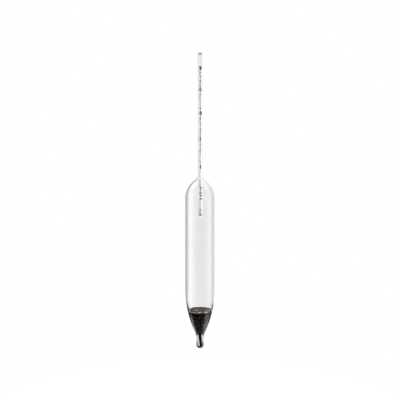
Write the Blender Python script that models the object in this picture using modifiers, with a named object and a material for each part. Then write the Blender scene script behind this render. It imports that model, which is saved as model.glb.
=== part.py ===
"""Glass hydrometer for brewing and winemaking, in metres, +Z up.

The instrument is round about Z. Its origin is on that axis at the float line, the zero
mark of the scale, which is level with the liquid when the instrument floats in water.
Outlines are drawn as (radius, height) with heights measured up from the tip of the end
bead, and one empty lowers every piece so that the float line falls on the origin.
"""

import math

import bpy

# Whole instrument
LENGTH = 0.305
FLOAT_LINE = 0.1865  # height of the scale's zero mark
GAP = 0.0003  # between neighbouring pieces
TIGHT_GAP = 0.0002  # between the nested rolls of paper and their cement

# Stem: a thin tube with a round closed top
STEM_RADIUS = 0.0022
STEM_WALL = 0.00035
STEM_SEAM = 0.1790  # where the stem is fused to the bulb

# Bulb, outside: fillet, shoulder, cylinder, taper and waist
BULB_RADIUS = 0.01515
NECK_FILLET = 0.0060
SHOULDER_HEIGHT = 0.1540
SHOULDER_ARC = 0.0230
TAPER_HEIGHT = 0.0600
TAPER_ARC = 0.0985
WAIST_FILLET = 0.0210

# Bulb, inside: an even wall, thinner at the drawn neck and thicker at the drawn tip
BULB_WALL = 0.0016
CAVITY_LIFT = 0.0008  # how far the cavity's shoulder lies above that of the outside
CAVITY_FILLET = 0.0070
CAVITY_TAPER_HEIGHT = 0.0540
CAVITY_TAPER_ARC = 0.0560
CAPILLARY_RADIUS = 0.0010
CAPILLARY_FILLET = 0.0170

# Solid glass bead that seals the tip
BEAD_RADIUS = 0.0039

# Ballast and the resin over it
BALLAST_TOP = 0.0378
SEAL_DEPTH = 0.0010
SEAL_MENISCUS = 0.0007  # how far the rim climbs the glass
SEAL_MENISCUS_WIDTH = 0.0016

# Rolled papers and the cement between them
PAPER = 0.0002
SCALE_RADIUS = 0.00165
SCALE_TOP = 0.2910
SCALE_BOTTOM = 0.1560
LABEL_RADIUS = 0.00245
LABEL_TOP = 0.1725
LABEL_BOTTOM = 0.1358
CEMENT_TOP = 0.1680
CEMENT_BOTTOM = 0.1660

# Facets round each turned piece, and points along its arcs
FINE_TURNS = 48
TURNS = 32
SHARP_ANGLE = math.radians(35)
MERGE = 0.00001


def arc(centre, radius, start, end, steps):
    """Points on an arc about a centre, from one angle to another, both ends included."""
    angles = [start + (end - start) * i / steps for i in range(steps + 1)]
    return [(centre[0] + radius * math.cos(a), centre[1] + radius * math.sin(a)) for a in angles]


def bearing(start, end):
    """Angle of the line from one point to another."""
    return math.atan2(end[1] - start[1], end[0] - start[0])


def centre_by_line(line_radius, fillet, centre, reach, side):
    """Centre of a fillet that touches an upright line and lies at a reach from a centre.

    The side is +1 for the centre above and -1 for the one below.
    """
    x = line_radius + fillet
    return (x, centre[1] + side * math.sqrt(reach**2 - (x - centre[0]) ** 2))


def centre_by_arcs(centre_a, reach_a, centre_b, reach_b):
    """Outer one of the two points at given reaches from two centres, the second one lower."""
    apart = math.dist(centre_a, centre_b)
    along = (reach_a**2 - reach_b**2 + apart**2) / (2 * apart)
    across = math.sqrt(reach_a**2 - along**2)
    heading = bearing(centre_a, centre_b)
    return (
        centre_a[0] + along * math.cos(heading) - across * math.sin(heading),
        centre_a[1] + along * math.sin(heading) + across * math.cos(heading),
    )


SHOULDER_CENTRE = (BULB_RADIUS - SHOULDER_ARC, SHOULDER_HEIGHT)
TAPER_CENTRE = (BULB_RADIUS - TAPER_ARC, TAPER_HEIGHT)
BEAD_CENTRE = (0.0, BEAD_RADIUS)
WAIST_CENTRE = centre_by_arcs(
    TAPER_CENTRE, TAPER_ARC + WAIST_FILLET, BEAD_CENTRE, BEAD_RADIUS + WAIST_FILLET
)
BEAD_SEAM = WAIST_CENTRE[1]  # the narrowest place, where the bead is fused on


def upper_outline(shoulder_arc, fillet, line_radius, lift, steps):
    """Neck fillet and shoulder, from the neck's upright wall down to the cylinder."""
    middle = (SHOULDER_CENTRE[0], SHOULDER_CENTRE[1] + lift)
    centre = centre_by_line(line_radius, fillet, middle, shoulder_arc + fillet, 1)
    inward = bearing(middle, centre)
    neck = arc(centre, fillet, math.pi, math.pi + inward, steps // 2)
    shoulder = arc(middle, shoulder_arc, inward, 0.0, steps)
    return neck + shoulder[1:]


def lower_outline(steps):
    """Outside of the taper, from the cylinder down to the waist."""
    heading = bearing(TAPER_CENTRE, WAIST_CENTRE)
    taper = arc(TAPER_CENTRE, TAPER_ARC, 0.0, heading, steps)
    waist = arc(WAIST_CENTRE, WAIST_FILLET, math.pi + heading, math.pi, steps // 3)
    return taper + waist[1:]


def taper_angle(arc_radius, height):
    """Angle on the cavity's taper arc at a height."""
    return math.asin((height - CAVITY_TAPER_HEIGHT) / arc_radius)


def cavity_taper(clearance, top, steps):
    """Cavity wall from a height down to the capillary, moved in by a clearance."""
    arc_radius = CAVITY_TAPER_ARC - clearance
    fillet = CAPILLARY_FILLET + clearance
    bore = CAPILLARY_RADIUS - clearance
    centre = (BULB_RADIUS - BULB_WALL - CAVITY_TAPER_ARC, CAVITY_TAPER_HEIGHT)
    mouth = centre_by_line(bore, fillet, centre, arc_radius + fillet, -1)
    heading = bearing(centre, mouth)
    taper = arc(centre, arc_radius, taper_angle(arc_radius, top), heading, steps)
    funnel = arc(mouth, fillet, math.pi + heading, math.pi, steps // 3)
    return taper + funnel[1:]


def cavity_side(clearance, top, bottom, steps):
    """Cavity wall between two heights on its taper, moved in by a clearance."""
    arc_radius = CAVITY_TAPER_ARC - clearance
    centre = (BULB_RADIUS - BULB_WALL - CAVITY_TAPER_ARC, CAVITY_TAPER_HEIGHT)
    ends = (taper_angle(arc_radius, top), taper_angle(arc_radius, bottom))
    return arc(centre, arc_radius, *ends, steps)


def material(name, colour, roughness, metallic=0.0, alpha=1.0):
    """Principled material in one colour."""
    made = bpy.data.materials.new(name)
    made.use_nodes = True
    made.diffuse_color = (*colour, alpha)
    shader = made.node_tree.nodes["Principled BSDF"]
    shader.inputs["Base Color"].default_value = (*colour, 1.0)
    shader.inputs["Roughness"].default_value = roughness
    shader.inputs["Metallic"].default_value = metallic
    shader.inputs["Alpha"].default_value = alpha
    return made


def outline_object(name, points, closed):
    """Mesh object that holds an outline in the XZ plane."""
    vertices = [(x, 0.0, z) for x, z in points]
    edges = [(i, i + 1) for i in range(len(points) - 1)]
    if closed:
        edges.append((len(points) - 1, 0))
    mesh = bpy.data.meshes.new(name)
    mesh.from_pydata(vertices, edges, [])
    return bpy.data.objects.new(name, mesh)


def turned(name, points, turns, parts, closed=False, wall=0.0):
    """Outline turned about Z, with a wall laid inside it where one is given."""
    piece = outline_object(name, points, closed)
    parts.objects.link(piece)
    screw = piece.modifiers.new("Turn", "SCREW")
    screw.axis = "Z"
    screw.angle = math.tau
    screw.steps = turns
    screw.render_steps = turns
    screw.use_merge_vertices = True
    screw.merge_threshold = MERGE
    if wall:
        shell = piece.modifiers.new("Wall", "SOLIDIFY")
        shell.thickness = wall
        shell.offset = -1.0
        shell.use_even_offset = True
        shell.use_quality_normals = True
    return piece


def keep_surface(piece):
    """Replace the outline and its modifiers by the surface that they make, shaded smooth."""
    bpy.context.view_layer.update()
    graph = bpy.context.evaluated_depsgraph_get()
    mesh = bpy.data.meshes.new_from_object(piece.evaluated_get(graph))
    outline = piece.data
    piece.modifiers.clear()
    piece.data = mesh
    bpy.data.meshes.remove(outline)
    mesh.name = piece.name
    mesh.shade_smooth()
    mesh.set_sharp_from_angle(angle=SHARP_ANGLE)


def stem_tube(parts):
    """Tube of the stem, closed by a round top and open where it is fused to the bulb."""
    crown = (0.0, LENGTH - STEM_RADIUS)
    points = arc(crown, STEM_RADIUS, math.pi / 2, 0.0, 8)
    points.append((STEM_RADIUS, STEM_SEAM + GAP))
    return turned("stem_tube", points, TURNS, parts, wall=STEM_WALL)


def bulb_shell(parts):
    """Hollow glass of the bulb, open at the neck and at the capillary in its drawn tip."""
    bore = STEM_RADIUS - STEM_WALL
    outside = [(STEM_RADIUS, STEM_SEAM)]
    outside += upper_outline(SHOULDER_ARC, NECK_FILLET, STEM_RADIUS, 0.0, 8)
    outside += lower_outline(12)
    inside = [(bore, STEM_SEAM)]
    inside += upper_outline(SHOULDER_ARC - BULB_WALL, CAVITY_FILLET, bore, CAVITY_LIFT, 8)
    inside += cavity_taper(0.0, CAVITY_TAPER_HEIGHT, 10)
    inside.append((CAPILLARY_RADIUS, BEAD_SEAM))
    return turned("bulb_shell", outside + inside[::-1], FINE_TURNS, parts, closed=True)


def end_bead(parts):
    """Solid bead fused to the tip."""
    top = BEAD_SEAM - GAP
    down = bearing(BEAD_CENTRE, WAIST_CENTRE)
    waist_start = math.pi + math.asin((WAIST_CENTRE[1] - top) / WAIST_FILLET)
    waist = arc(WAIST_CENTRE, WAIST_FILLET, waist_start, math.pi + down, 4)
    ball = arc(BEAD_CENTRE, BEAD_RADIUS, down, -math.pi / 2, 12)
    return turned("end_bead", [(0.0, top)] + waist + ball[1:], TURNS, parts)


def shot_ballast(parts):
    """Bonded lead shot: the cavity's taper, filled down into the capillary."""
    side = cavity_taper(GAP, BALLAST_TOP, 12)
    bottom = BEAD_SEAM + GAP
    tail = [(CAPILLARY_RADIUS - GAP, bottom), (0.0, bottom)]
    return turned("shot_ballast", [(0.0, BALLAST_TOP)] + side + tail, TURNS, parts)


def ballast_seal(parts):
    """Resin poured over the shot, with a rim that climbs the glass."""
    bottom = BALLAST_TOP + GAP
    top = bottom + SEAL_DEPTH
    side = cavity_side(GAP, top + SEAL_MENISCUS, bottom, 4)
    foot = side[0][0] - SEAL_MENISCUS_WIDTH
    steps = 5
    rise = [
        (foot + SEAL_MENISCUS_WIDTH * i / steps, top + SEAL_MENISCUS * (i / steps) ** 3)
        for i in range(steps)
    ]
    return turned("ballast_seal", [(0.0, top)] + rise + side + [(0.0, bottom)], TURNS, parts)


def paper_roll(name, radius, top, bottom, parts):
    """Paper rolled into an open tube."""
    return turned(name, [(radius, top), (radius, bottom)], TURNS, parts, wall=PAPER)


def scale_cement(parts):
    """Ring of cement between the scale and the label rolled round it."""
    outer = LABEL_RADIUS - PAPER - TIGHT_GAP
    inner = SCALE_RADIUS + TIGHT_GAP
    points = [(outer, CEMENT_TOP), (outer, CEMENT_BOTTOM)]
    points += [(inner, CEMENT_BOTTOM), (inner, CEMENT_TOP)]
    return turned("scale_cement", points, TURNS, parts, closed=True)


def clear_scene():
    for old in list(bpy.data.objects):
        bpy.data.objects.remove(old)


def main():
    clear_scene()
    parts = bpy.data.collections.new("hydrometer")
    bpy.context.scene.collection.children.link(parts)

    glass = material("clear_glass", (0.93, 0.95, 0.95), 0.02, alpha=0.3)
    bulb_glass = material("bulb_glass", (0.92, 0.93, 0.92), 0.03, alpha=0.3)
    bead_glass = material("bead_glass", (0.88, 0.90, 0.90), 0.02, alpha=0.45)
    scale_paper = material("scale_paper", (0.93, 0.92, 0.88), 0.85)
    label_paper = material("label_paper", (0.90, 0.89, 0.86), 0.80)
    cement = material("cement", (0.80, 0.74, 0.60), 0.45)
    lead = material("lead_shot", (0.07, 0.07, 0.07), 0.45, metallic=0.9)
    resin = material("seal_resin", (0.22, 0.13, 0.12), 0.25)

    pieces = {
        stem_tube(parts): glass,
        bulb_shell(parts): bulb_glass,
        end_bead(parts): bead_glass,
        paper_roll("scale_paper", SCALE_RADIUS, SCALE_TOP, SCALE_BOTTOM, parts): scale_paper,
        paper_roll("data_label", LABEL_RADIUS, LABEL_TOP, LABEL_BOTTOM, parts): label_paper,
        scale_cement(parts): cement,
        shot_ballast(parts): lead,
        ballast_seal(parts): resin,
    }
    datum = bpy.data.objects.new("float_line", None)
    datum.empty_display_size = BULB_RADIUS
    datum.location = (0.0, 0.0, -FLOAT_LINE)
    parts.objects.link(datum)
    for piece, finish in pieces.items():
        keep_surface(piece)
        piece.data.materials.append(finish)
        piece.parent = datum


main()
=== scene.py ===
"""Looks of the glass hydrometer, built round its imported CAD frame. Metres, +Z up."""

import math
import random

import bmesh
import bpy
from mathutils import Euler, Matrix, Vector, noise


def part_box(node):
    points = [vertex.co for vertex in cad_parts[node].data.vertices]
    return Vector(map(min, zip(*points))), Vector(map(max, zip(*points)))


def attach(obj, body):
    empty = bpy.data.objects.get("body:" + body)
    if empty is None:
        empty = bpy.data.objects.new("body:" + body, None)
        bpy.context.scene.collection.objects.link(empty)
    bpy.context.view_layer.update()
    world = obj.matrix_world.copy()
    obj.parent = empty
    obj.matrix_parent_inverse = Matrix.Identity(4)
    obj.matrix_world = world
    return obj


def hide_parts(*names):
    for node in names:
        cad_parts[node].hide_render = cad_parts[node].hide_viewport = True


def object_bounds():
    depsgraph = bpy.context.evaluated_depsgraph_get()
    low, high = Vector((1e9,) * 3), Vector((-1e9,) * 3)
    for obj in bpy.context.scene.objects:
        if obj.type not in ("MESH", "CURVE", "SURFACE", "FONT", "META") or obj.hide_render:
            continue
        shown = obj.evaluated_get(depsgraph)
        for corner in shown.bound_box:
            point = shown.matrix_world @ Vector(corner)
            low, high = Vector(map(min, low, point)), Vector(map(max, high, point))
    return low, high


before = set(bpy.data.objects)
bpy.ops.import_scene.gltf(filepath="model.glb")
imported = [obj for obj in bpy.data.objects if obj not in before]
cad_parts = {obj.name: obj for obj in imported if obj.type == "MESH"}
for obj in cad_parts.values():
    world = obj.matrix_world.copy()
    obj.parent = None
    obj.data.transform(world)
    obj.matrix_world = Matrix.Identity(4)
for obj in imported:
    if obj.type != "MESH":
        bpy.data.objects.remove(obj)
CAD_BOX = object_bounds()

TIP = CAD_BOX[0].z
TOP = CAD_BOX[1].z
LENGTH = TOP - TIP
BULB_RADIUS = CAD_BOX[1].x
STEM_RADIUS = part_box("stem_tube")[1].x
SCALE_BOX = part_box("scale_paper")
LABEL_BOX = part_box("data_label")
SHOT_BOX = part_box("shot_ballast")
SEAL_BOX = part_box("ballast_seal")

# Glass outline, in heights above the tip, as in the CAD
STEM_WALL = 0.00035
STEM_END = 0.0012  # glass left where the top was sealed
NECK_FILLET = 0.0060
SHOULDER_HEIGHT = 0.1540
SHOULDER_ARC = 0.0230
TAPER_HEIGHT = 0.0600
TAPER_ARC = 0.0985
WAIST_FILLET = 0.0210
BULB_WALL = 0.0016
CAVITY_LIFT = 0.0008  # how far the cavity's shoulder lies above that of the outside
CAVITY_FILLET = 0.0070
CAVITY_TAPER_HEIGHT = 0.0540
CAVITY_TAPER_ARC = 0.0560
CAPILLARY_RADIUS = 0.0010
CAPILLARY_FILLET = 0.0170
BEAD_RADIUS = 0.0039
BEAD_PAINTED_RING = (0.0052, 0.0072, 0.08, 0.22)  # heights where its painted dark ring (painted shade at the glancing edge) fades, and facings
GLASS_TURNS = 128
GLASS_RIPPLE = 0.00003

# Lead shot
PELLET = 0.00052
PELLET_PITCH = 0.00106
PELLET_SKIN = 0.00004
TAIL_TOP = 0.0195
TAIL_END = 0.0021
TAIL_WIDTH = 0.0009
TAIL_SWAY = 0.0006  # how far the tail's end lies off the axis
TAIL_SHADE_FADE = 0.006  # height over which the lead's painted shade in the tail fades out above it
GOLDEN_ANGLE = math.pi * (3 - math.sqrt(5))
SHOT_TOP = SHOT_BOX[1].z - TIP

# Resin over the shot
SEAL_RIM = SEAL_BOX[1].z - TIP
SEAL_RISE = 0.0007
SEAL_TOP = SEAL_RIM - SEAL_RISE
SEAL_BITE = 0.00003  # overlap with the glass that it is bonded to
FILL_TOP = SEAL_TOP - 0.0005
SEAL_FOOT = SHOT_TOP + 0.0003
SEAL_RISE_WIDTH = 0.0018
SEAL_CALM = 0.0015  # width by the rim where the pellets below don't show
LUMP = 0.00022
LUMP_SPREAD = 0.35 * PELLET_PITCH
SEAL_WAVE = 0.00012

# Papers and their print
PAPER = 0.0001
PAPER_STEP = PAPER * 1.3  # how far one lap lies inside the next
PAPER_SAG = 0.00002
SCALE_ROLL = (1.25, math.radians(70))  # laps, and where the outer edge lies
LABEL_ROLL = (1.15, math.radians(100))
INK = 0.000015
PRINT_STRIP = 0.00012
TICK = 0.00055
LINE_AT = 0.0004  # round the paper from the middle of the print
FIRST_DIVISION = 0.005885  # height of one per cent above the zero mark, before it shrinks
DIVISION_SHRINK = 0.0000405
SCALE_STRENGTHS = 20
NUMBERED_EVERY = 5
PRINT_FACING = math.radians(-74)
NUMBERS = {"size": 0.0052, "bold": 0.00035, "stretch": 0.48}
NUMBER_AT = 0.0001
NUMBER_GAP = 0.0022  # from the middle of a number to where the ruled line breaks off
NUMBER_TICK = 0.0006
NUMBER_TICKS_AT = (-0.0018, 0.0020)
TICK_LENGTH = 0.0013
LINE_WIDTH = 0.0003
RANGE = {"size": 0.0034, "bold": 0.00045, "stretch": 0.55, "spacing": 2.95}
RANGE_AT = (0.0002, 0.0134)  # place round the label, and depth below its top
WORD = (0.0009, 0.0012)  # shortest and longest dash
WORD_GAP = 0.0016
SMALL_PRINT_FOOT = 0.0010
SMALL_PRINT = [  # lines of dashes: place round the label, length, thickness
    (-0.0021, 0.0180, 0.00025),
    (-0.0004, 0.0088, 0.0008),
    (0.0011, 0.0088, 0.0008),
]

# Studio, with angles in degrees; headings run from +Y towards +X
THROUGH_LIGHT = 1.10
THROUGH_TILT = 0.15
STRIPE = (0.5, 4.5, 0.9)  # half-widths of the dim stripe straight behind, and its light
CLOTH = (-22.5, 0.66)  # middle of the dim band within each quarter, and its depth
CLOTH_WIDTH = (7, 13)
OVERHEAD = (10, 50)
OVERHEAD_LIGHT = 0.25
MIRROR_LIGHT = 0.68
MIRROR_WAVE = 0.26
HORIZON = (-22, -9)  # elevations between which reflections darken
MIRROR_FLOOR = 0.1
FRONT = (95, 125, 0.1)  # headings past which the camera's side is dark in reflections
SOFTBOXES = [  # heading, elevation, core, edge, strength
    (75, 48, 22, 36, 0.5),
    (-75, 46, 16, 30, 0.4),
]
SOLID_EDGE = (7, 17, 0.7)  # where thick glass looks darker
SOLID_TOP = (-1, 9, 0.02)
MATT_LIGHT = 0.85
MATT_BOXES = [
    (88, 15, 26, 48, 6.5),
    (-92, 15, 22, 42, 4.5),
]
FLOOR_RADIUS = 0.29
FLOOR_DROP = 0.1
FLOOR_RIM = (0.19, 0.285)  # distances from the middle over which its glows fade
FLOOR_GLOWS = [  # place on the floor, core and edge in metres, strength in reflections
    ((0.20, 0.02, 0.0), 0.09, 0.18, 1.5),
    ((-0.20, 0.14, 0.0), 0.08, 0.15, 2.0),
    ((0.0, 0.0, 0.0), 0.04, 0.09, 0.8),
]

# Camera
VIEW_DISTANCE = 0.503
VIEW_WIDTH = 0.4122
SENSOR = 0.036


# Outlines -----------------------------------------------------------------------------

def arc(centre, radius, start, end, steps):
    """Points on an arc about a centre, both ends included."""
    angles = [start + (end - start) * i / steps for i in range(steps + 1)]
    return [(centre[0] + radius * math.cos(a), centre[1] + radius * math.sin(a)) for a in angles]


def bearing(start, end):
    """Angle of the line from one point to another."""
    return math.atan2(end[1] - start[1], end[0] - start[0])


def centre_by_line(line_radius, fillet, centre, reach, side):
    """Centre of a fillet that touches an upright line and lies at a reach from a centre."""
    x = line_radius + fillet
    return (x, centre[1] + side * math.sqrt(reach**2 - (x - centre[0]) ** 2))


def centre_by_arcs(centre_a, reach_a, centre_b, reach_b):
    """Outer one of the two points at given reaches from two centres."""
    apart = math.dist(centre_a, centre_b)
    along = (reach_a**2 - reach_b**2 + apart**2) / (2 * apart)
    across = math.sqrt(reach_a**2 - along**2)
    heading = bearing(centre_a, centre_b)
    return (
        centre_a[0] + along * math.cos(heading) - across * math.sin(heading),
        centre_a[1] + along * math.sin(heading) + across * math.cos(heading),
    )


def upper_outline(shoulder_arc, fillet, line_radius, lift=0.0):
    """Neck fillet and shoulder, from the neck's upright wall down to the cylinder."""
    shoulder = (BULB_RADIUS - SHOULDER_ARC, SHOULDER_HEIGHT + lift)
    centre = centre_by_line(line_radius, fillet, shoulder, shoulder_arc + fillet, 1)
    inward = bearing(shoulder, centre)
    neck = arc(centre, fillet, math.pi, math.pi + inward, 14)
    return neck + arc(shoulder, shoulder_arc, inward, 0.0, 32)[1:]


def straight(radius, top, bottom, steps):
    """Upright stretch, without its ends."""
    return [(radius, top + (bottom - top) * i / steps) for i in range(1, steps)]


def outer_outline():
    """Outside of the whole glass, from the top of the stem down to the tip of the bead."""
    taper = (BULB_RADIUS - TAPER_ARC, TAPER_HEIGHT)
    bead = (0.0, BEAD_RADIUS)
    waist = centre_by_arcs(taper, TAPER_ARC + WAIST_FILLET, bead, BEAD_RADIUS + WAIST_FILLET)
    down = bearing(taper, waist)
    under = bearing(bead, waist)
    points = arc((0.0, LENGTH - STEM_RADIUS), STEM_RADIUS, math.pi / 2, 0.0, 14)
    upper = upper_outline(SHOULDER_ARC, NECK_FILLET, STEM_RADIUS)
    points += straight(STEM_RADIUS, points[-1][1], upper[0][1], 40) + upper
    points += straight(BULB_RADIUS, SHOULDER_HEIGHT, TAPER_HEIGHT, 40)
    points += arc(taper, TAPER_ARC, 0.0, down, 44)
    points += arc(waist, WAIST_FILLET, math.pi + down, math.pi + under, 14)[1:]
    points += arc(bead, BEAD_RADIUS, under, -math.pi / 2, 28)[1:]
    return points


def taper_outline(clearance=0.0):
    """Cavity wall from the cylinder down into the capillary, moved in by a clearance."""
    taper_arc = CAVITY_TAPER_ARC - clearance
    fillet = CAPILLARY_FILLET + clearance
    centre = (BULB_RADIUS - BULB_WALL - CAVITY_TAPER_ARC, CAVITY_TAPER_HEIGHT)
    mouth = centre_by_line(CAPILLARY_RADIUS - clearance, fillet, centre, taper_arc + fillet, -1)
    down = bearing(centre, mouth)
    points = arc(centre, taper_arc, 0.0, down, 60)
    return points + arc(mouth, fillet, math.pi + down, math.pi, 16)[1:]


def cavity_outline():
    """Hollow of the whole glass, from the top of the stem down into the resin.

    Below that the shot is bonded to the glass, so no air lies between them.
    """
    bore = STEM_RADIUS - STEM_WALL
    points = arc((0.0, LENGTH - STEM_END - bore), bore, math.pi / 2, 0.0, 12)
    upper = upper_outline(SHOULDER_ARC - BULB_WALL, CAVITY_FILLET, bore, CAVITY_LIFT)
    points += straight(bore, points[-1][1], upper[0][1], 40) + upper
    lower = [p for p in taper_outline() if p[1] > FILL_TOP]
    points += straight(lower[0][0], SHOULDER_HEIGHT, lower[0][1], 40) + lower
    return points + [(radius_at(taper_outline(), FILL_TOP), FILL_TOP), (0.0, FILL_TOP)]


def radius_at(outline, height):
    """Radius of a falling outline at a height."""
    for (r1, z1), (r2, z2) in zip(outline, outline[1:]):
        if z1 >= height >= z2 and z1 > z2:
            return r1 + (r2 - r1) * (z1 - height) / (z1 - z2)
    return outline[-1][0]


# Meshes -------------------------------------------------------------------------------

def mesh_object(name, vertices, faces, material, body="root"):
    """Smooth mesh piece that rides on a body."""
    mesh = bpy.data.meshes.new(name)
    mesh.from_pydata(vertices, [], faces)
    mesh.validate()
    mesh.shade_smooth()
    mesh.set_sharp_from_angle(angle=math.radians(50))
    mesh.materials.append(material)
    piece = bpy.data.objects.new(name, mesh)
    bpy.context.scene.collection.objects.link(piece)
    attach(piece, body)
    return piece


def lathe(outline, turns, inward=False, ripple=0.0):
    """Closed surface turned from an outline that starts and ends on the axis."""
    rings = outline[1:-1]
    vertices = [(0.0, 0.0, TIP + outline[0][1])]
    for radius, height in rings:
        for i in range(turns):
            angle = math.tau * i / turns
            x, y = math.cos(angle), math.sin(angle)
            wave = noise.noise(Vector((x * 0.9, y * 0.9, height * 120)))
            true = radius - ripple * (1 + wave) * min(1.0, radius / BULB_RADIUS)
            vertices.append((true * x, true * y, TIP + height))
    vertices.append((0.0, 0.0, TIP + outline[-1][1]))
    last = len(vertices) - 1
    faces = []
    for i in range(turns):
        j = (i + 1) % turns
        faces.append((0, 1 + i, 1 + j))
        for k in range(len(rings) - 1):
            a, b = 1 + k * turns, 1 + (k + 1) * turns
            faces.append((a + i, b + i, b + j, a + j))
        foot = 1 + (len(rings) - 1) * turns
        faces.append((foot + i, last, foot + j))
    if inward:
        faces = [face[::-1] for face in faces]
    return vertices, faces


def joined(*shapes):
    """Several lists of vertices and faces as one."""
    vertices, faces = [], []
    for more_vertices, more_faces in shapes:
        start = len(vertices)
        vertices += more_vertices
        faces += [tuple(start + i for i in face) for face in more_faces]
    return vertices, faces


def glass_envelope(material):
    """Stem, bulb and bead as the one fused glass that they are, with its hollow inside."""
    outside = lathe(outer_outline(), GLASS_TURNS, ripple=GLASS_RIPPLE)
    inside = lathe(cavity_outline(), GLASS_TURNS, inward=True, ripple=GLASS_RIPPLE)
    piece = mesh_object("glass_envelope", *joined(outside, inside), material)
    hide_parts("stem_tube", "bulb_shell", "end_bead")
    return piece


# Where painted shade darkens the resin's rim, and where painted pale glints show by the glass:
# distances from the axis, and heights
SEAL_EDGE = radius_at(taper_outline(), SEAL_TOP)
SHADED_RIM_REACH = (SEAL_BOX[1].x - 0.0028, SEAL_BOX[1].x - 0.0016)
SHADED_RIM_CLIMB = (SEAL_BOX[1].z - SEAL_RISE, SEAL_BOX[1].z - SEAL_RISE * 0.8)
GLINT_REACH = (SEAL_EDGE - 0.0003, SEAL_EDGE - 0.0001)
GLINT_CLIMB = (TIP + SEAL_TOP - 0.0009, TIP + SEAL_TOP - 0.0006)


# Lead shot ----------------------------------------------------------------------------

def pellet_shape():
    """Vertices and faces of one unit pellet."""
    ball = bmesh.new()
    bmesh.ops.create_icosphere(ball, subdivisions=2, radius=1.0)
    vertices = [v.co.copy() for v in ball.verts]
    faces = [tuple(v.index for v in face.verts) for face in ball.faces]
    ball.free()
    return vertices, faces


def along_wall(outline, share):
    """Point and inward normal on an outline where a share of its turned area is passed."""
    strips = []
    for (r1, z1), (r2, z2) in zip(outline, outline[1:]):
        strips.append((r1 + r2) * math.hypot(r2 - r1, z2 - z1))
    wanted = share * sum(strips)
    for area, start, end in zip(strips, outline, outline[1:]):
        if wanted <= area:
            break
        wanted -= area
    t = min(1.0, wanted / area)
    slope = Vector((end[0] - start[0], end[1] - start[1])).normalized()
    point = Vector(start).lerp(Vector(end), t)
    return point, Vector((slope.y, -slope.x))


def wall_pellets(depth, seed):
    """Places of one layer of pellets, whose centres lie at a depth inside the cavity wall."""
    rng = random.Random(seed)
    wall = [p for p in taper_outline(depth) if p[1] <= SHOT_TOP - PELLET]
    wall = [p for p in wall if p[1] >= TAIL_TOP - PELLET * 2]
    area = sum(
        math.pi * (r1 + r2) * math.hypot(r2 - r1, z2 - z1)
        for (r1, z1), (r2, z2) in zip(wall, wall[1:])
    )
    count = round(area / (PELLET_PITCH**2 * math.sqrt(3) / 2))
    places = []
    for k in range(count):
        point, inward = along_wall(wall, (k + 0.5) / count)
        point = point + inward * rng.uniform(0.0, 0.0001)
        angle = k * GOLDEN_ANGLE + rng.uniform(-0.05, 0.05) * PELLET_PITCH / max(point.x, PELLET)
        places.append((point.x * math.cos(angle), point.x * math.sin(angle), point.y))
    return places


def top_pellets():
    """Places of the pellets in the top layer, which the resin half covers."""
    rng = random.Random(7)
    reach = radius_at(taper_outline(PELLET * 2), SHOT_TOP) - PELLET
    count = round(math.pi * reach**2 / (PELLET_PITCH**2 * math.sqrt(3) / 2))
    places = []
    for k in range(count):
        radius = reach * math.sqrt((k + 0.5) / count)
        angle = k * GOLDEN_ANGLE
        height = SHOT_TOP + rng.uniform(-0.0002, 0.0002)
        places.append((radius * math.cos(angle), radius * math.sin(angle), height))
    return places


def shot(material):
    """Bonded lead pellets: two layers against the glass, the top layer, and a dark middle."""
    rng = random.Random(3)
    ball, ball_faces = pellet_shape()
    places = wall_pellets(PELLET + PELLET_SKIN, 1)
    places += wall_pellets(PELLET * 2.7, 2)
    places += top_pellets()
    shapes = []
    for x, y, z in places:
        size = PELLET * rng.uniform(0.9, 1.0)
        squeeze = Matrix.Diagonal([rng.uniform(0.92, 1.0) for _ in range(3)])
        turn = Euler([rng.uniform(0, math.tau) for _ in range(3)]).to_matrix()
        centre = Vector((x, y, TIP + z))
        shapes.append(([centre + turn @ (squeeze @ v) * size for v in ball], ball_faces))
    middle = [p for p in taper_outline(PELLET * 3) if p[1] < SHOT_TOP - PELLET and p[0] > 0]
    shapes.append(lathe([(0.0, middle[0][1])] + middle + [(0.0, middle[-1][1])], 32))
    tail = [p for p in taper_outline(PELLET_SKIN) if p[1] <= TAIL_TOP]
    seam = tail[-1]
    steps = 24
    tail += [
        (seam[0] + (TAIL_WIDTH - seam[0]) * i / steps, seam[1] + (TAIL_END - seam[1]) * i / steps)
        for i in range(1, steps)
    ]
    tail = [(0.0, tail[0][1])] + tail
    rod, rod_faces = lathe(tail + [(0.0, TAIL_END)], 40, ripple=0.00015)
    swayed = []
    for x, y, z in rod:
        below = min(1.0, max(0.0, (seam[1] + TIP - z) / (seam[1] - TAIL_END)))
        swayed.append((x + TAIL_SWAY * below, y, z))
    shapes.append((swayed, rod_faces))
    piece = mesh_object("lead_shot", *joined(*shapes), material)
    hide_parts("shot_ballast")
    return piece


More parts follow.
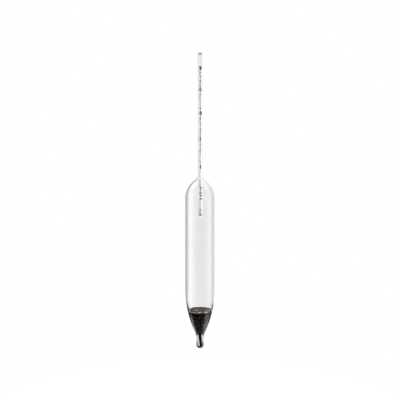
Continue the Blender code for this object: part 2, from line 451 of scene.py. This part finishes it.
def seal(material):
    """Resin poured over the shot: lumpy where pellets lie under it, risen at the glass."""
    rim = radius_at(taper_outline(-SEAL_BITE), SEAL_RIM)
    foot = radius_at(taper_outline(-SEAL_BITE), SEAL_FOOT)
    rings, turns = 56, 160
    bumps = top_pellets()
    vertices = [(0.0, 0.0, TIP + SEAL_TOP)]
    for k in range(1, rings + 1):
        radius = rim * k / rings
        climb = SEAL_RISE * max(0.0, 1 - (rim - radius) / SEAL_RISE_WIDTH) ** 3
        for i in range(turns):
            angle = math.tau * i / turns
            x, y = radius * math.cos(angle), radius * math.sin(angle)
            near = min((x - px) ** 2 + (y - py) ** 2 for px, py, _ in bumps)
            lump = LUMP * math.exp(-near / LUMP_SPREAD**2)
            wave = SEAL_WAVE * noise.noise(Vector((x, y, 0.0)) * 500)
            ease = min(1.0, (rim - radius) / SEAL_CALM)
            vertices.append((x, y, TIP + SEAL_TOP + climb + (lump + wave) * ease))
    foot_ring = len(vertices)
    for i in range(turns):
        angle = math.tau * i / turns
        vertices.append((foot * math.cos(angle), foot * math.sin(angle), TIP + SEAL_FOOT))
    vertices.append((0.0, 0.0, TIP + SEAL_FOOT))
    faces = []
    for i in range(turns):
        j = (i + 1) % turns
        faces.append((0, 1 + i, 1 + j))
        for k in range(rings - 1):
            a, b = 1 + k * turns, 1 + (k + 1) * turns
            faces.append((a + i, b + i, b + j, a + j))
        outer = 1 + (rings - 1) * turns
        faces.append((outer + i, foot_ring + i, foot_ring + j, outer + j))
        faces.append((foot_ring + i, len(vertices) - 1, foot_ring + j))
    piece = mesh_object("resin_seal", vertices, faces, material)
    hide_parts("ballast_seal")
    return piece


# Papers and print ---------------------------------------------------------------------

def rolled_sheet(name, radius, top, bottom, laps, start, material):
    """Sheet of paper rolled a little more than once round, with its two ends overlapping."""
    turns, rows = 96, 90
    count = round(turns * laps)
    outer, inner = [], []
    for k in range(count + 1):
        angle = start + math.tau * k / turns
        r = radius - PAPER_STEP * (1 - k / count) * laps
        for row in range(rows + 1):
            z = top + (bottom - top) * row / rows
            sag = PAPER_SAG * noise.noise(Vector((k * 0.08, z * 90, radius * 900)))
            outer.append(((r + sag) * math.cos(angle), (r + sag) * math.sin(angle), z))
            thin = r + sag - PAPER
            inner.append((thin * math.cos(angle), thin * math.sin(angle), z))
    start_inner = len(outer)
    step = rows + 1
    faces = []
    for k in range(count):
        for row in range(rows):
            a = k * step + row
            b = a + step
            faces.append((a, a + 1, b + 1, b))
            c, d = a + start_inner, b + start_inner
            faces.append((c, d, d + 1, c + 1))
        a, b = k * step, (k + 1) * step
        faces.append((a, b, b + start_inner, a + start_inner))
        a, b = a + rows, b + rows
        faces.append((a, a + start_inner, b + start_inner, b))
    for row in range(rows):
        a = row
        faces.append((a, a + start_inner, a + 1 + start_inner, a + 1))
        b = count * step + row
        faces.append((b, b + 1, b + 1 + start_inner, b + start_inner))
    return mesh_object(name, outer + inner, faces, material)


def cut_in_strips(mesh, strip):
    """Cut a flat print into upright strips, so that it can bend round a roll."""
    sheet = bmesh.new()
    sheet.from_mesh(mesh)
    bmesh.ops.remove_doubles(sheet, verts=sheet.verts, dist=1e-7)
    xs = [v.co.x for v in sheet.verts]
    x = min(xs) + strip
    while x < max(xs):
        geometry = sheet.verts[:] + sheet.edges[:] + sheet.faces[:]
        bmesh.ops.bisect_plane(sheet, geom=geometry, plane_co=(x, 0, 0), plane_no=(1, 0, 0))
        x += strip
    sheet.to_mesh(mesh)
    sheet.free()


def flat_text(body, size, upright=True, bold=0.0, stretch=1.0, spacing=1.0):
    """Printed characters as a thin closed solid in the XY plane, centred."""
    curve = bpy.data.curves.new("type", "FONT")
    curve.body = body
    curve.size = size
    curve.align_x = "CENTER"
    curve.align_y = "CENTER"
    curve.extrude = INK / 2
    curve.offset = bold
    curve.space_character = spacing
    curve.resolution_u = 4
    writing = bpy.data.objects.new("type", curve)
    bpy.context.scene.collection.objects.link(writing)
    bpy.context.view_layer.update()
    graph = bpy.context.evaluated_depsgraph_get()
    mesh = bpy.data.meshes.new_from_object(writing.evaluated_get(graph))
    bpy.data.objects.remove(writing)
    mesh.transform(Matrix.Diagonal((stretch, 1.0, 1.0, 1.0)))
    if not upright:
        mesh.transform(Matrix.Rotation(-math.pi / 2, 4, "Z"))
    return mesh


def flat_bar(width, height):
    """Printed line or block as a thin closed solid in the XY plane, centred."""
    bar = bmesh.new()
    bmesh.ops.create_cube(bar, size=1.0)
    bmesh.ops.scale(bar, vec=(width, height, INK), verts=bar.verts)
    mesh = bpy.data.meshes.new("bar")
    bar.to_mesh(mesh)
    bar.free()
    return mesh


def printed(mesh, across, height, facing, radius):
    """Wrap a flat print round a roll, at a distance across from its facing direction."""
    cut_in_strips(mesh, PRINT_STRIP)
    vertices = []
    for v in mesh.vertices:
        angle = facing + (across + v.co.x) / radius
        r = radius + INK + v.co.z
        vertices.append((r * math.cos(angle), r * math.sin(angle), height + v.co.y))
    faces = [tuple(p.vertices) for p in mesh.polygons]
    bpy.data.meshes.remove(mesh)
    return vertices, faces


def mark_height(strength):
    """Height of the scale's mark for an alcoholic strength, in per cent by volume."""
    return FIRST_DIVISION * strength - DIVISION_SHRINK * strength**2


def scale_print(material):
    """Ruled line, marks and numbers of the scale, round the paper in the stem."""
    radius = SCALE_BOX[1].x
    marks = []
    for strength in range(SCALE_STRENGTHS + 1):
        numbered = strength % NUMBERED_EVERY == 0
        height = mark_height(strength)
        if numbered:
            number = flat_text(str(strength), **NUMBERS)
            marks.append(printed(number, NUMBER_AT, height, PRINT_FACING, radius))
            for across in NUMBER_TICKS_AT:
                tick = flat_bar(NUMBER_TICK, TICK)
                marks.append(printed(tick, across, height, PRINT_FACING, radius))
        else:
            tick = flat_bar(TICK_LENGTH, TICK)
            marks.append(printed(tick, LINE_AT - TICK_LENGTH / 2, height, PRINT_FACING, radius))
        if strength < SCALE_STRENGTHS:
            foot = height + (NUMBER_GAP if numbered else 0.0)
            top = mark_height(strength + 1)
            top -= NUMBER_GAP if (strength + 1) % NUMBERED_EVERY == 0 else 0.0
            line = flat_bar(LINE_WIDTH, top - foot)
            marks.append(printed(line, LINE_AT, (top + foot) / 2, PRINT_FACING, radius))
    piece = mesh_object("scale_print", *joined(*marks), material)
    return piece


def label_print(material):
    """Generic printing on the label: its range in bold, and dashes for small print."""
    radius = LABEL_BOX[1].x
    across, depth = RANGE_AT
    bold = flat_text("0-20%", upright=False, **RANGE)
    marks = [printed(bold, across, LABEL_BOX[1].z - depth, PRINT_FACING, radius)]
    rng = random.Random(5)
    for across, length, thick in SMALL_PRINT:
        height = LABEL_BOX[0].z + SMALL_PRINT_FOOT
        while height < LABEL_BOX[0].z + length:
            word = rng.uniform(*WORD)
            rule = flat_bar(thick, word)
            marks.append(printed(rule, across, height + word / 2, PRINT_FACING, radius))
            height += word + WORD_GAP
    piece = mesh_object("label_print", *joined(*marks), material)
    return piece


# Nodes --------------------------------------------------------------------------------

def maths(tree, operation, *values):
    """Math node on sockets and numbers."""
    node = tree.nodes.new("ShaderNodeMath")
    node.operation = operation
    for socket, value in zip(node.inputs, values):
        if isinstance(value, (int, float)):
            socket.default_value = value
        else:
            tree.links.new(value, socket)
    return node.outputs["Value"]


def between(tree, value, start, end, low=0.0, high=1.0, kind="LINEAR"):
    """Number that goes from low to high while a value passes from start to end."""
    node = tree.nodes.new("ShaderNodeMapRange")
    node.interpolation_type = kind
    node.inputs["From Min"].default_value = start
    node.inputs["From Max"].default_value = end
    node.inputs["To Min"].default_value = low
    node.inputs["To Max"].default_value = high
    tree.links.new(value, node.inputs["Value"])
    return node.outputs["Result"]


def eased(tree, value, start, end, low, high):
    """Number that eases from low to high while a value in radians passes two angles in degrees."""
    ends = (math.radians(start), math.radians(end))
    return between(tree, value, *ends, low, high, "SMOOTHSTEP")


def spread(tree, factor, low, high):
    """Factor from 0 to 1 spread between two values."""
    return between(tree, factor, 0.0, 1.0, low, high)


def chosen(tree, factor, no, yes):
    """Second number where a factor is 1, and the first where it is 0."""
    node = tree.nodes.new("ShaderNodeMix")
    node.data_type = "FLOAT"
    tree.links.new(factor, node.inputs[0])
    for socket, value in ((node.inputs[2], no), (node.inputs[3], yes)):
        if isinstance(value, (int, float)):
            socket.default_value = value
        else:
            tree.links.new(value, socket)
    return node.outputs[0]


def mixed(tree, factor, first, second):
    """Colour from the first to the second of two colours or sockets, by a factor."""
    node = tree.nodes.new("ShaderNodeMix")
    node.data_type = "RGBA"
    tree.links.new(factor, node.inputs["Factor"])
    for socket, colour in ((node.inputs[6], first), (node.inputs[7], second)):
        if isinstance(colour, tuple):
            socket.default_value = (*colour, 1.0)
        else:
            tree.links.new(colour, socket)
    return node.outputs[2]


def place_on(tree):
    """Place in object space, and its height."""
    place = tree.nodes.new("ShaderNodeTexCoord").outputs["Object"]
    split = tree.nodes.new("ShaderNodeSeparateXYZ")
    tree.links.new(place, split.inputs["Vector"])
    return place, split.outputs["Z"]


def measured(tree, operation, place, other=None):
    """Length of a vector, or its distance from a point."""
    node = tree.nodes.new("ShaderNodeVectorMath")
    node.operation = operation
    tree.links.new(place, node.inputs[0])
    if other:
        node.inputs[1].default_value = other
    return node.outputs["Value"]


def noise_of(tree, scale, detail=4.0, stretch=(1.0, 1.0, 1.0)):
    """Noise in object space, stretched along the axes."""
    place = tree.nodes.new("ShaderNodeTexCoord")
    shape = tree.nodes.new("ShaderNodeMapping")
    shape.inputs["Scale"].default_value = stretch
    texture = tree.nodes.new("ShaderNodeTexNoise")
    texture.inputs["Scale"].default_value = scale
    texture.inputs["Detail"].default_value = detail
    tree.links.new(place.outputs["Object"], shape.inputs["Vector"])
    tree.links.new(shape.outputs["Vector"], texture.inputs["Vector"])
    return texture.outputs["Fac"]


def ramp(tree, factor, low, high, start=0.35, end=0.65):
    """Colour between two colours, by a factor."""
    node = tree.nodes.new("ShaderNodeValToRGB")
    node.color_ramp.elements[0].position = start
    node.color_ramp.elements[1].position = end
    node.color_ramp.elements[0].color = (*low, 1.0)
    node.color_ramp.elements[1].color = (*high, 1.0)
    tree.links.new(factor, node.inputs["Fac"])
    return node.outputs["Color"]


def bump(tree, shader, factor, distance, strength=1.0):
    """Relief from a factor."""
    node = tree.nodes.new("ShaderNodeBump")
    node.inputs["Distance"].default_value = distance
    node.inputs["Strength"].default_value = strength
    tree.links.new(factor, node.inputs["Height"])
    tree.links.new(node.outputs["Normal"], shader.inputs["Normal"])


def new_material(name):
    """Node material with a Principled shader; returns it, its tree and the shader."""
    material = bpy.data.materials.new(name)
    material.use_nodes = True
    return material, material.node_tree, material.node_tree.nodes["Principled BSDF"]


# Materials ----------------------------------------------------------------------------

def glass_material():
    """Clear blown glass with faint draw lines, a little absorption in its thickness, and a dark ring
    painted into the bead's glancing edge as painted shade.
    """
    material, tree, shader = new_material("clear_glass")
    tint = ramp(tree, noise_of(tree, 60), (0.985, 0.985, 0.98), (1.0, 1.0, 1.0))
    _, height = place_on(tree)
    # Painted shade: the glass near the bead is darkened at glancing facings, drawing the dark ring at
    # its edge
    low = between(tree, height, TIP + BEAD_PAINTED_RING[0], TIP + BEAD_PAINTED_RING[1], 1.0, 0.0)
    glancing = tree.nodes.new("ShaderNodeLayerWeight")
    glancing.inputs["Blend"].default_value = 0.5
    edge = between(tree, glancing.outputs["Facing"], *BEAD_PAINTED_RING[2:])
    painted_ring = maths(tree, "MULTIPLY", low, edge)
    tree.links.new(mixed(tree, painted_ring, tint, (0.15, 0.15, 0.15)), shader.inputs["Base Color"])
    shader.inputs["Transmission Weight"].default_value = 1.0
    shader.inputs["IOR"].default_value = 1.5
    shader.inputs["Roughness"].default_value = 0.0
    bump(tree, shader, noise_of(tree, 900, 2.0, (1.0, 1.0, 0.04)), 0.000002)
    volume = tree.nodes.new("ShaderNodeVolumeAbsorption")
    volume.inputs["Color"].default_value = (0.725, 0.72, 0.71, 1.0)
    volume.inputs["Density"].default_value = 80.0
    output = tree.nodes["Material Output"]
    tree.links.new(volume.outputs["Volume"], output.inputs["Volume"])
    return material


def paper_material(name, low, high):
    """Printing paper with fibres."""
    material, tree, shader = new_material(name)
    fibres = noise_of(tree, 2500, 6.0, (1.0, 1.0, 0.35))
    tree.links.new(ramp(tree, fibres, low, high), shader.inputs["Base Color"])
    tree.links.new(spread(tree, fibres, 0.75, 0.95), shader.inputs["Roughness"])
    bump(tree, shader, fibres, 0.00001, 0.5)
    return material


def ink_material():
    """Printing ink, thinner in places."""
    material, tree, shader = new_material("printing_ink")
    patches = noise_of(tree, 4000, 3.0)
    tree.links.new(ramp(tree, patches, (0.012, 0.012, 0.014), (0.05, 0.05, 0.052)),
                   shader.inputs["Base Color"])
    shader.inputs["Roughness"].default_value = 0.6
    return material


def lead_material():
    """Dull lead: lighter in patches, with the odd bright pellet that is partly rubbed wear and partly
    a painted glint, and dark in its tail from painted shade.
    """
    material, tree, shader = new_material("lead_shot")
    patches = noise_of(tree, 420, 6.0)
    dull = ramp(tree, patches, (0.05, 0.05, 0.05), (0.34, 0.33, 0.30), 0.42, 0.68)
    place, height = place_on(tree)
    # The odd bright pellet: partly rubbed wear, partly a painted glint
    cells = tree.nodes.new("ShaderNodeTexVoronoi")
    cells.inputs["Scale"].default_value = 950.0
    tree.links.new(place, cells.inputs["Vector"])
    split = tree.nodes.new("ShaderNodeSeparateColor")
    tree.links.new(cells.outputs["Color"], split.inputs["Color"])
    rubbed_and_glinting = between(tree, split.outputs["Red"], 0.9, 0.97)
    tint = mixed(tree, rubbed_and_glinting, dull, (0.75, 0.73, 0.69))
    # Painted shade: lead in the narrow tail is made near black, fading out above the tail
    unshaded_above_tail = between(tree, height, TIP + TAIL_TOP, TIP + TAIL_TOP + TAIL_SHADE_FADE)
    tint = mixed(tree, unshaded_above_tail, (0.012, 0.012, 0.012), tint)
    tree.links.new(tint, shader.inputs["Base Color"])
    tree.links.new(spread(tree, patches, 0.55, 0.35), shader.inputs["Roughness"])
    shader.inputs["Metallic"].default_value = 1.0
    bump(tree, shader, patches, 0.00003, 0.6)
    return material


def resin_material():
    """Brownish pink resin, cloudy, with painted shade dark at its rim, and painted pale glints in
    streaks just under its top by the glass.
    """
    material, tree, shader = new_material("seal_resin")
    clouds = noise_of(tree, 260, 5.0)
    cloudy = ramp(tree, clouds, (0.02, 0.014, 0.013), (0.17, 0.125, 0.115), 0.4, 0.62)
    place, height = place_on(tree)
    flat = tree.nodes.new("ShaderNodeVectorMath")
    flat.operation = "MULTIPLY"
    flat.inputs[1].default_value = (1.0, 1.0, 0.0)
    tree.links.new(place, flat.inputs[0])
    reach = measured(tree, "LENGTH", flat.outputs["Vector"])
    # Painted shade: the resin is darkened at its rim where it climbs the glass
    rim = between(tree, reach, *SHADED_RIM_REACH)
    climb = between(tree, height, *SHADED_RIM_CLIMB)
    tint = mixed(tree, maths(tree, "MULTIPLY", rim, climb), cloudy, (0.01, 0.008, 0.008))
    # Painted highlight: pale streaks just under the resin's top by the glass, for glints on its
    # meniscus
    glint_streaks = ramp(tree, noise_of(tree, 420, 3.0), (0.0, 0.0, 0.0), (1.0, 1.0, 1.0), 0.45, 0.55)
    glint_band = between(tree, reach, *GLINT_REACH)
    upper = between(tree, height, *GLINT_CLIMB)
    painted_glints = maths(tree, "MULTIPLY", maths(tree, "MULTIPLY", glint_band, upper), glint_streaks)
    tree.links.new(mixed(tree, painted_glints, tint, (0.55, 0.50, 0.47)), shader.inputs["Base Color"])
    tree.links.new(spread(tree, clouds, 0.3, 0.55), shader.inputs["Roughness"])
    bump(tree, shader, noise_of(tree, 1500, 4.0), 0.00006, 0.6)
    return material


def cement_material():
    """Pale yellow cement."""
    material, tree, shader = new_material("scale_cement")
    clouds = noise_of(tree, 1200, 5.0)
    tree.links.new(ramp(tree, clouds, (0.55, 0.47, 0.32), (0.75, 0.68, 0.52)),
                   shader.inputs["Base Color"])
    tree.links.new(spread(tree, clouds, 0.35, 0.6), shader.inputs["Roughness"])
    bump(tree, shader, clouds, 0.00005, 0.5)
    return material


# Studio -------------------------------------------------------------------------------

def softbox(tree, direction, heading, elevation, core, edge, strength):
    """Round softbox centred on a heading from +Y towards +X and an elevation, in degrees."""
    turn, rise = math.radians(heading), math.radians(elevation)
    facing = tree.nodes.new("ShaderNodeVectorMath")
    facing.operation = "DOT_PRODUCT"
    facing.inputs[1].default_value = (
        math.sin(turn) * math.cos(rise),
        math.cos(turn) * math.cos(rise),
        math.sin(rise),
    )
    tree.links.new(direction, facing.inputs[0])
    away = maths(tree, "ARCCOSINE", facing.outputs["Value"])
    return eased(tree, away, core, edge, strength, 0.0)


def backdrop(tree, heading):
    """Light that shows through the glass from a heading: through a hollow shell, and a rod."""
    quarter = maths(tree, "WRAP", heading, math.pi / 4, -math.pi / 4)
    wave = maths(tree, "SINE", maths(tree, "MULTIPLY", heading, 4.0))
    shell = maths(tree, "MULTIPLY_ADD", wave, -THROUGH_TILT, THROUGH_LIGHT)
    middle, depth = CLOTH
    apart = maths(tree, "ABSOLUTE", maths(tree, "SUBTRACT", quarter, math.radians(middle)))
    shell = maths(tree, "SUBTRACT", shell, eased(tree, apart, *CLOTH_WIDTH, depth, 0.0))
    eighth = maths(tree, "ABSOLUTE", maths(tree, "WRAP", heading, math.pi / 8, -math.pi / 8))
    shell = maths(tree, "MULTIPLY", shell, eased(tree, eighth, *STRIPE[:2], STRIPE[2], 1.0))
    aside = maths(tree, "ABSOLUTE", quarter)
    return shell, eased(tree, aside, *SOLID_EDGE[:2], 1.0, SOLID_EDGE[2])


def passed(tree, path, kind, depth):
    """1 where a light path has passed more than a number of surfaces of a kind."""
    return maths(tree, "GREATER_THAN", path.outputs[kind], depth)


def floor_material():
    """Matt white floor. Mirrored, it is dark with soft glows; through glass, like the backdrop."""
    material, tree, shader = new_material("studio_floor")
    grain = noise_of(tree, 300, 3.0)
    white = ramp(tree, grain, (0.82, 0.82, 0.82), (0.86, 0.86, 0.86))
    path = tree.nodes.new("ShaderNodeLightPath")
    mirrored = passed(tree, path, "Glossy Depth", 0.5)
    through = maths(tree, "MULTIPLY", passed(tree, path, "Transmission Depth", 0.5),
                    maths(tree, "SUBTRACT", 1.0, passed(tree, path, "Diffuse Depth", 0.5)))
    dark = maths(tree, "MAXIMUM", mirrored, through)
    tree.links.new(mixed(tree, dark, white, (0.02, 0.02, 0.02)), shader.inputs["Base Color"])
    place = tree.nodes.new("ShaderNodeTexCoord").outputs["Object"]
    glow = 0.0
    for middle, core, edge, strength in FLOOR_GLOWS:
        apart = measured(tree, "DISTANCE", place, middle)
        glow = maths(tree, "ADD", between(tree, apart, core, edge, strength, 0.0, "SMOOTHSTEP"), glow)
    inside = between(tree, measured(tree, "LENGTH", place), *FLOOR_RIM, 1.0, 0.0, "SMOOTHSTEP")
    glow = maths(tree, "MULTIPLY", glow, inside)
    split = tree.nodes.new("ShaderNodeSeparateXYZ")
    tree.links.new(place, split.inputs["Vector"])
    heading = maths(tree, "ARCTAN2", split.outputs["X"], split.outputs["Y"])
    shell, rod = backdrop(tree, heading)
    seen = chosen(tree, passed(tree, path, "Transmission Depth", 2.5), rod, shell)
    shader.inputs["Emission Color"].default_value = (1.0, 1.0, 1.0, 1.0)
    light = chosen(tree, mirrored, maths(tree, "MULTIPLY", seen, through), glow)
    tree.links.new(light, shader.inputs["Emission Strength"])
    shader.inputs["Roughness"].default_value = 0.9
    shader.inputs["Specular IOR Level"].default_value = 0.0
    return material


def studio_world():
    """White studio. Its cloths show in the glass, and its softboxes in what reflects them."""
    world = bpy.data.worlds.new("studio")
    world.use_nodes = True
    bpy.context.scene.world = world
    tree = world.node_tree
    tree.nodes.clear()
    place = tree.nodes.new("ShaderNodeTexCoord")
    direction = place.outputs["Generated"]
    split = tree.nodes.new("ShaderNodeSeparateXYZ")
    tree.links.new(direction, split.inputs["Vector"])
    heading = maths(tree, "ARCTAN2", split.outputs["X"], split.outputs["Y"])
    rise = maths(tree, "ARCSINE", split.outputs["Z"])

    shell, rod = backdrop(tree, heading)
    shell = maths(tree, "MULTIPLY", shell, eased(tree, rise, *OVERHEAD, 1.0, OVERHEAD_LIGHT))
    rod = maths(tree, "MULTIPLY", rod, eased(tree, rise, *SOLID_TOP[:2], 1.0, SOLID_TOP[2]))

    # Seen by reflection: grey round the horizon, dark below, and two softboxes
    wave = maths(tree, "SINE", maths(tree, "MULTIPLY", heading, 4.0))
    level = maths(tree, "MULTIPLY_ADD", wave, MIRROR_WAVE, MIRROR_LIGHT)
    mirrored = maths(tree, "MULTIPLY", level, eased(tree, rise, *HORIZON, MIRROR_FLOOR, 1.0))
    frontness = maths(tree, "ABSOLUTE", heading)
    mirrored = maths(tree, "MULTIPLY", mirrored, eased(tree, frontness, *FRONT[:2], 1.0, FRONT[2]))
    for box in SOFTBOXES:
        mirrored = maths(tree, "ADD", mirrored, softbox(tree, direction, *box))

    # What lights matt things
    matt = MATT_LIGHT
    for box in MATT_BOXES:
        matt = maths(tree, "ADD", matt, softbox(tree, direction, *box))

    path = tree.nodes.new("ShaderNodeLightPath")
    strength = chosen(tree, passed(tree, path, "Transmission Depth", 2.5), rod, shell)
    strength = chosen(tree, passed(tree, path, "Glossy Depth", 0.5), strength, mirrored)
    strength = chosen(tree, passed(tree, path, "Diffuse Depth", 0.5), strength, matt)
    strength = chosen(tree, path.outputs["Is Camera Ray"], strength, 1.0)
    background = tree.nodes.new("ShaderNodeBackground")
    background.inputs["Color"].default_value = (1.0, 1.0, 1.0, 1.0)
    tree.links.new(strength, background.inputs["Strength"])
    output = tree.nodes.new("ShaderNodeOutputWorld")
    tree.links.new(background.outputs["Background"], output.inputs["Surface"])


def studio_floor(material):
    """Round pale floor below the instrument."""
    disc = bmesh.new()
    bmesh.ops.create_circle(disc, cap_ends=True, radius=FLOOR_RADIUS, segments=96)
    mesh = bpy.data.meshes.new("studio_floor")
    disc.to_mesh(mesh)
    disc.free()
    mesh.materials.append(material)
    floor = bpy.data.objects.new("studio_floor", mesh)
    floor.location.z = TIP - FLOOR_DROP
    bpy.context.scene.collection.objects.link(floor)


def studio_camera():
    """Camera level with the middle of the instrument."""
    data = bpy.data.cameras.new("camera")
    data.sensor_width = SENSOR * 1000
    data.lens = SENSOR * 1000 * VIEW_DISTANCE / VIEW_WIDTH
    camera = bpy.data.objects.new("camera", data)
    camera.location = (0.0, -VIEW_DISTANCE, (TIP + TOP) / 2)
    camera.rotation_euler = (math.pi / 2, 0.0, 0.0)
    bpy.context.scene.collection.objects.link(camera)
    bpy.context.scene.camera = camera


def main():
    bpy.context.scene.view_settings.view_transform = "Standard"
    studio_camera()
    studio_world()
    studio_floor(floor_material())

    ink = ink_material()
    scale_paper = paper_material("scale_paper", (0.86, 0.85, 0.81), (0.95, 0.94, 0.90))
    label_paper = paper_material("label_paper", (0.70, 0.695, 0.68), (0.80, 0.795, 0.77))

    glass_envelope(glass_material())
    shot(lead_material())
    seal(resin_material())

    scale = rolled_sheet("rolled_scale", SCALE_BOX[1].x, SCALE_BOX[1].z, SCALE_BOX[0].z,
                         *SCALE_ROLL, scale_paper)
    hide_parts("scale_paper")
    label = rolled_sheet("rolled_label", LABEL_BOX[1].x, LABEL_BOX[1].z, LABEL_BOX[0].z,
                         *LABEL_ROLL, label_paper)
    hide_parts("data_label")
    scale_print(ink)
    label_print(ink)

    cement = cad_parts["scale_cement"]
    cement.data.materials[0] = cement_material()


main()
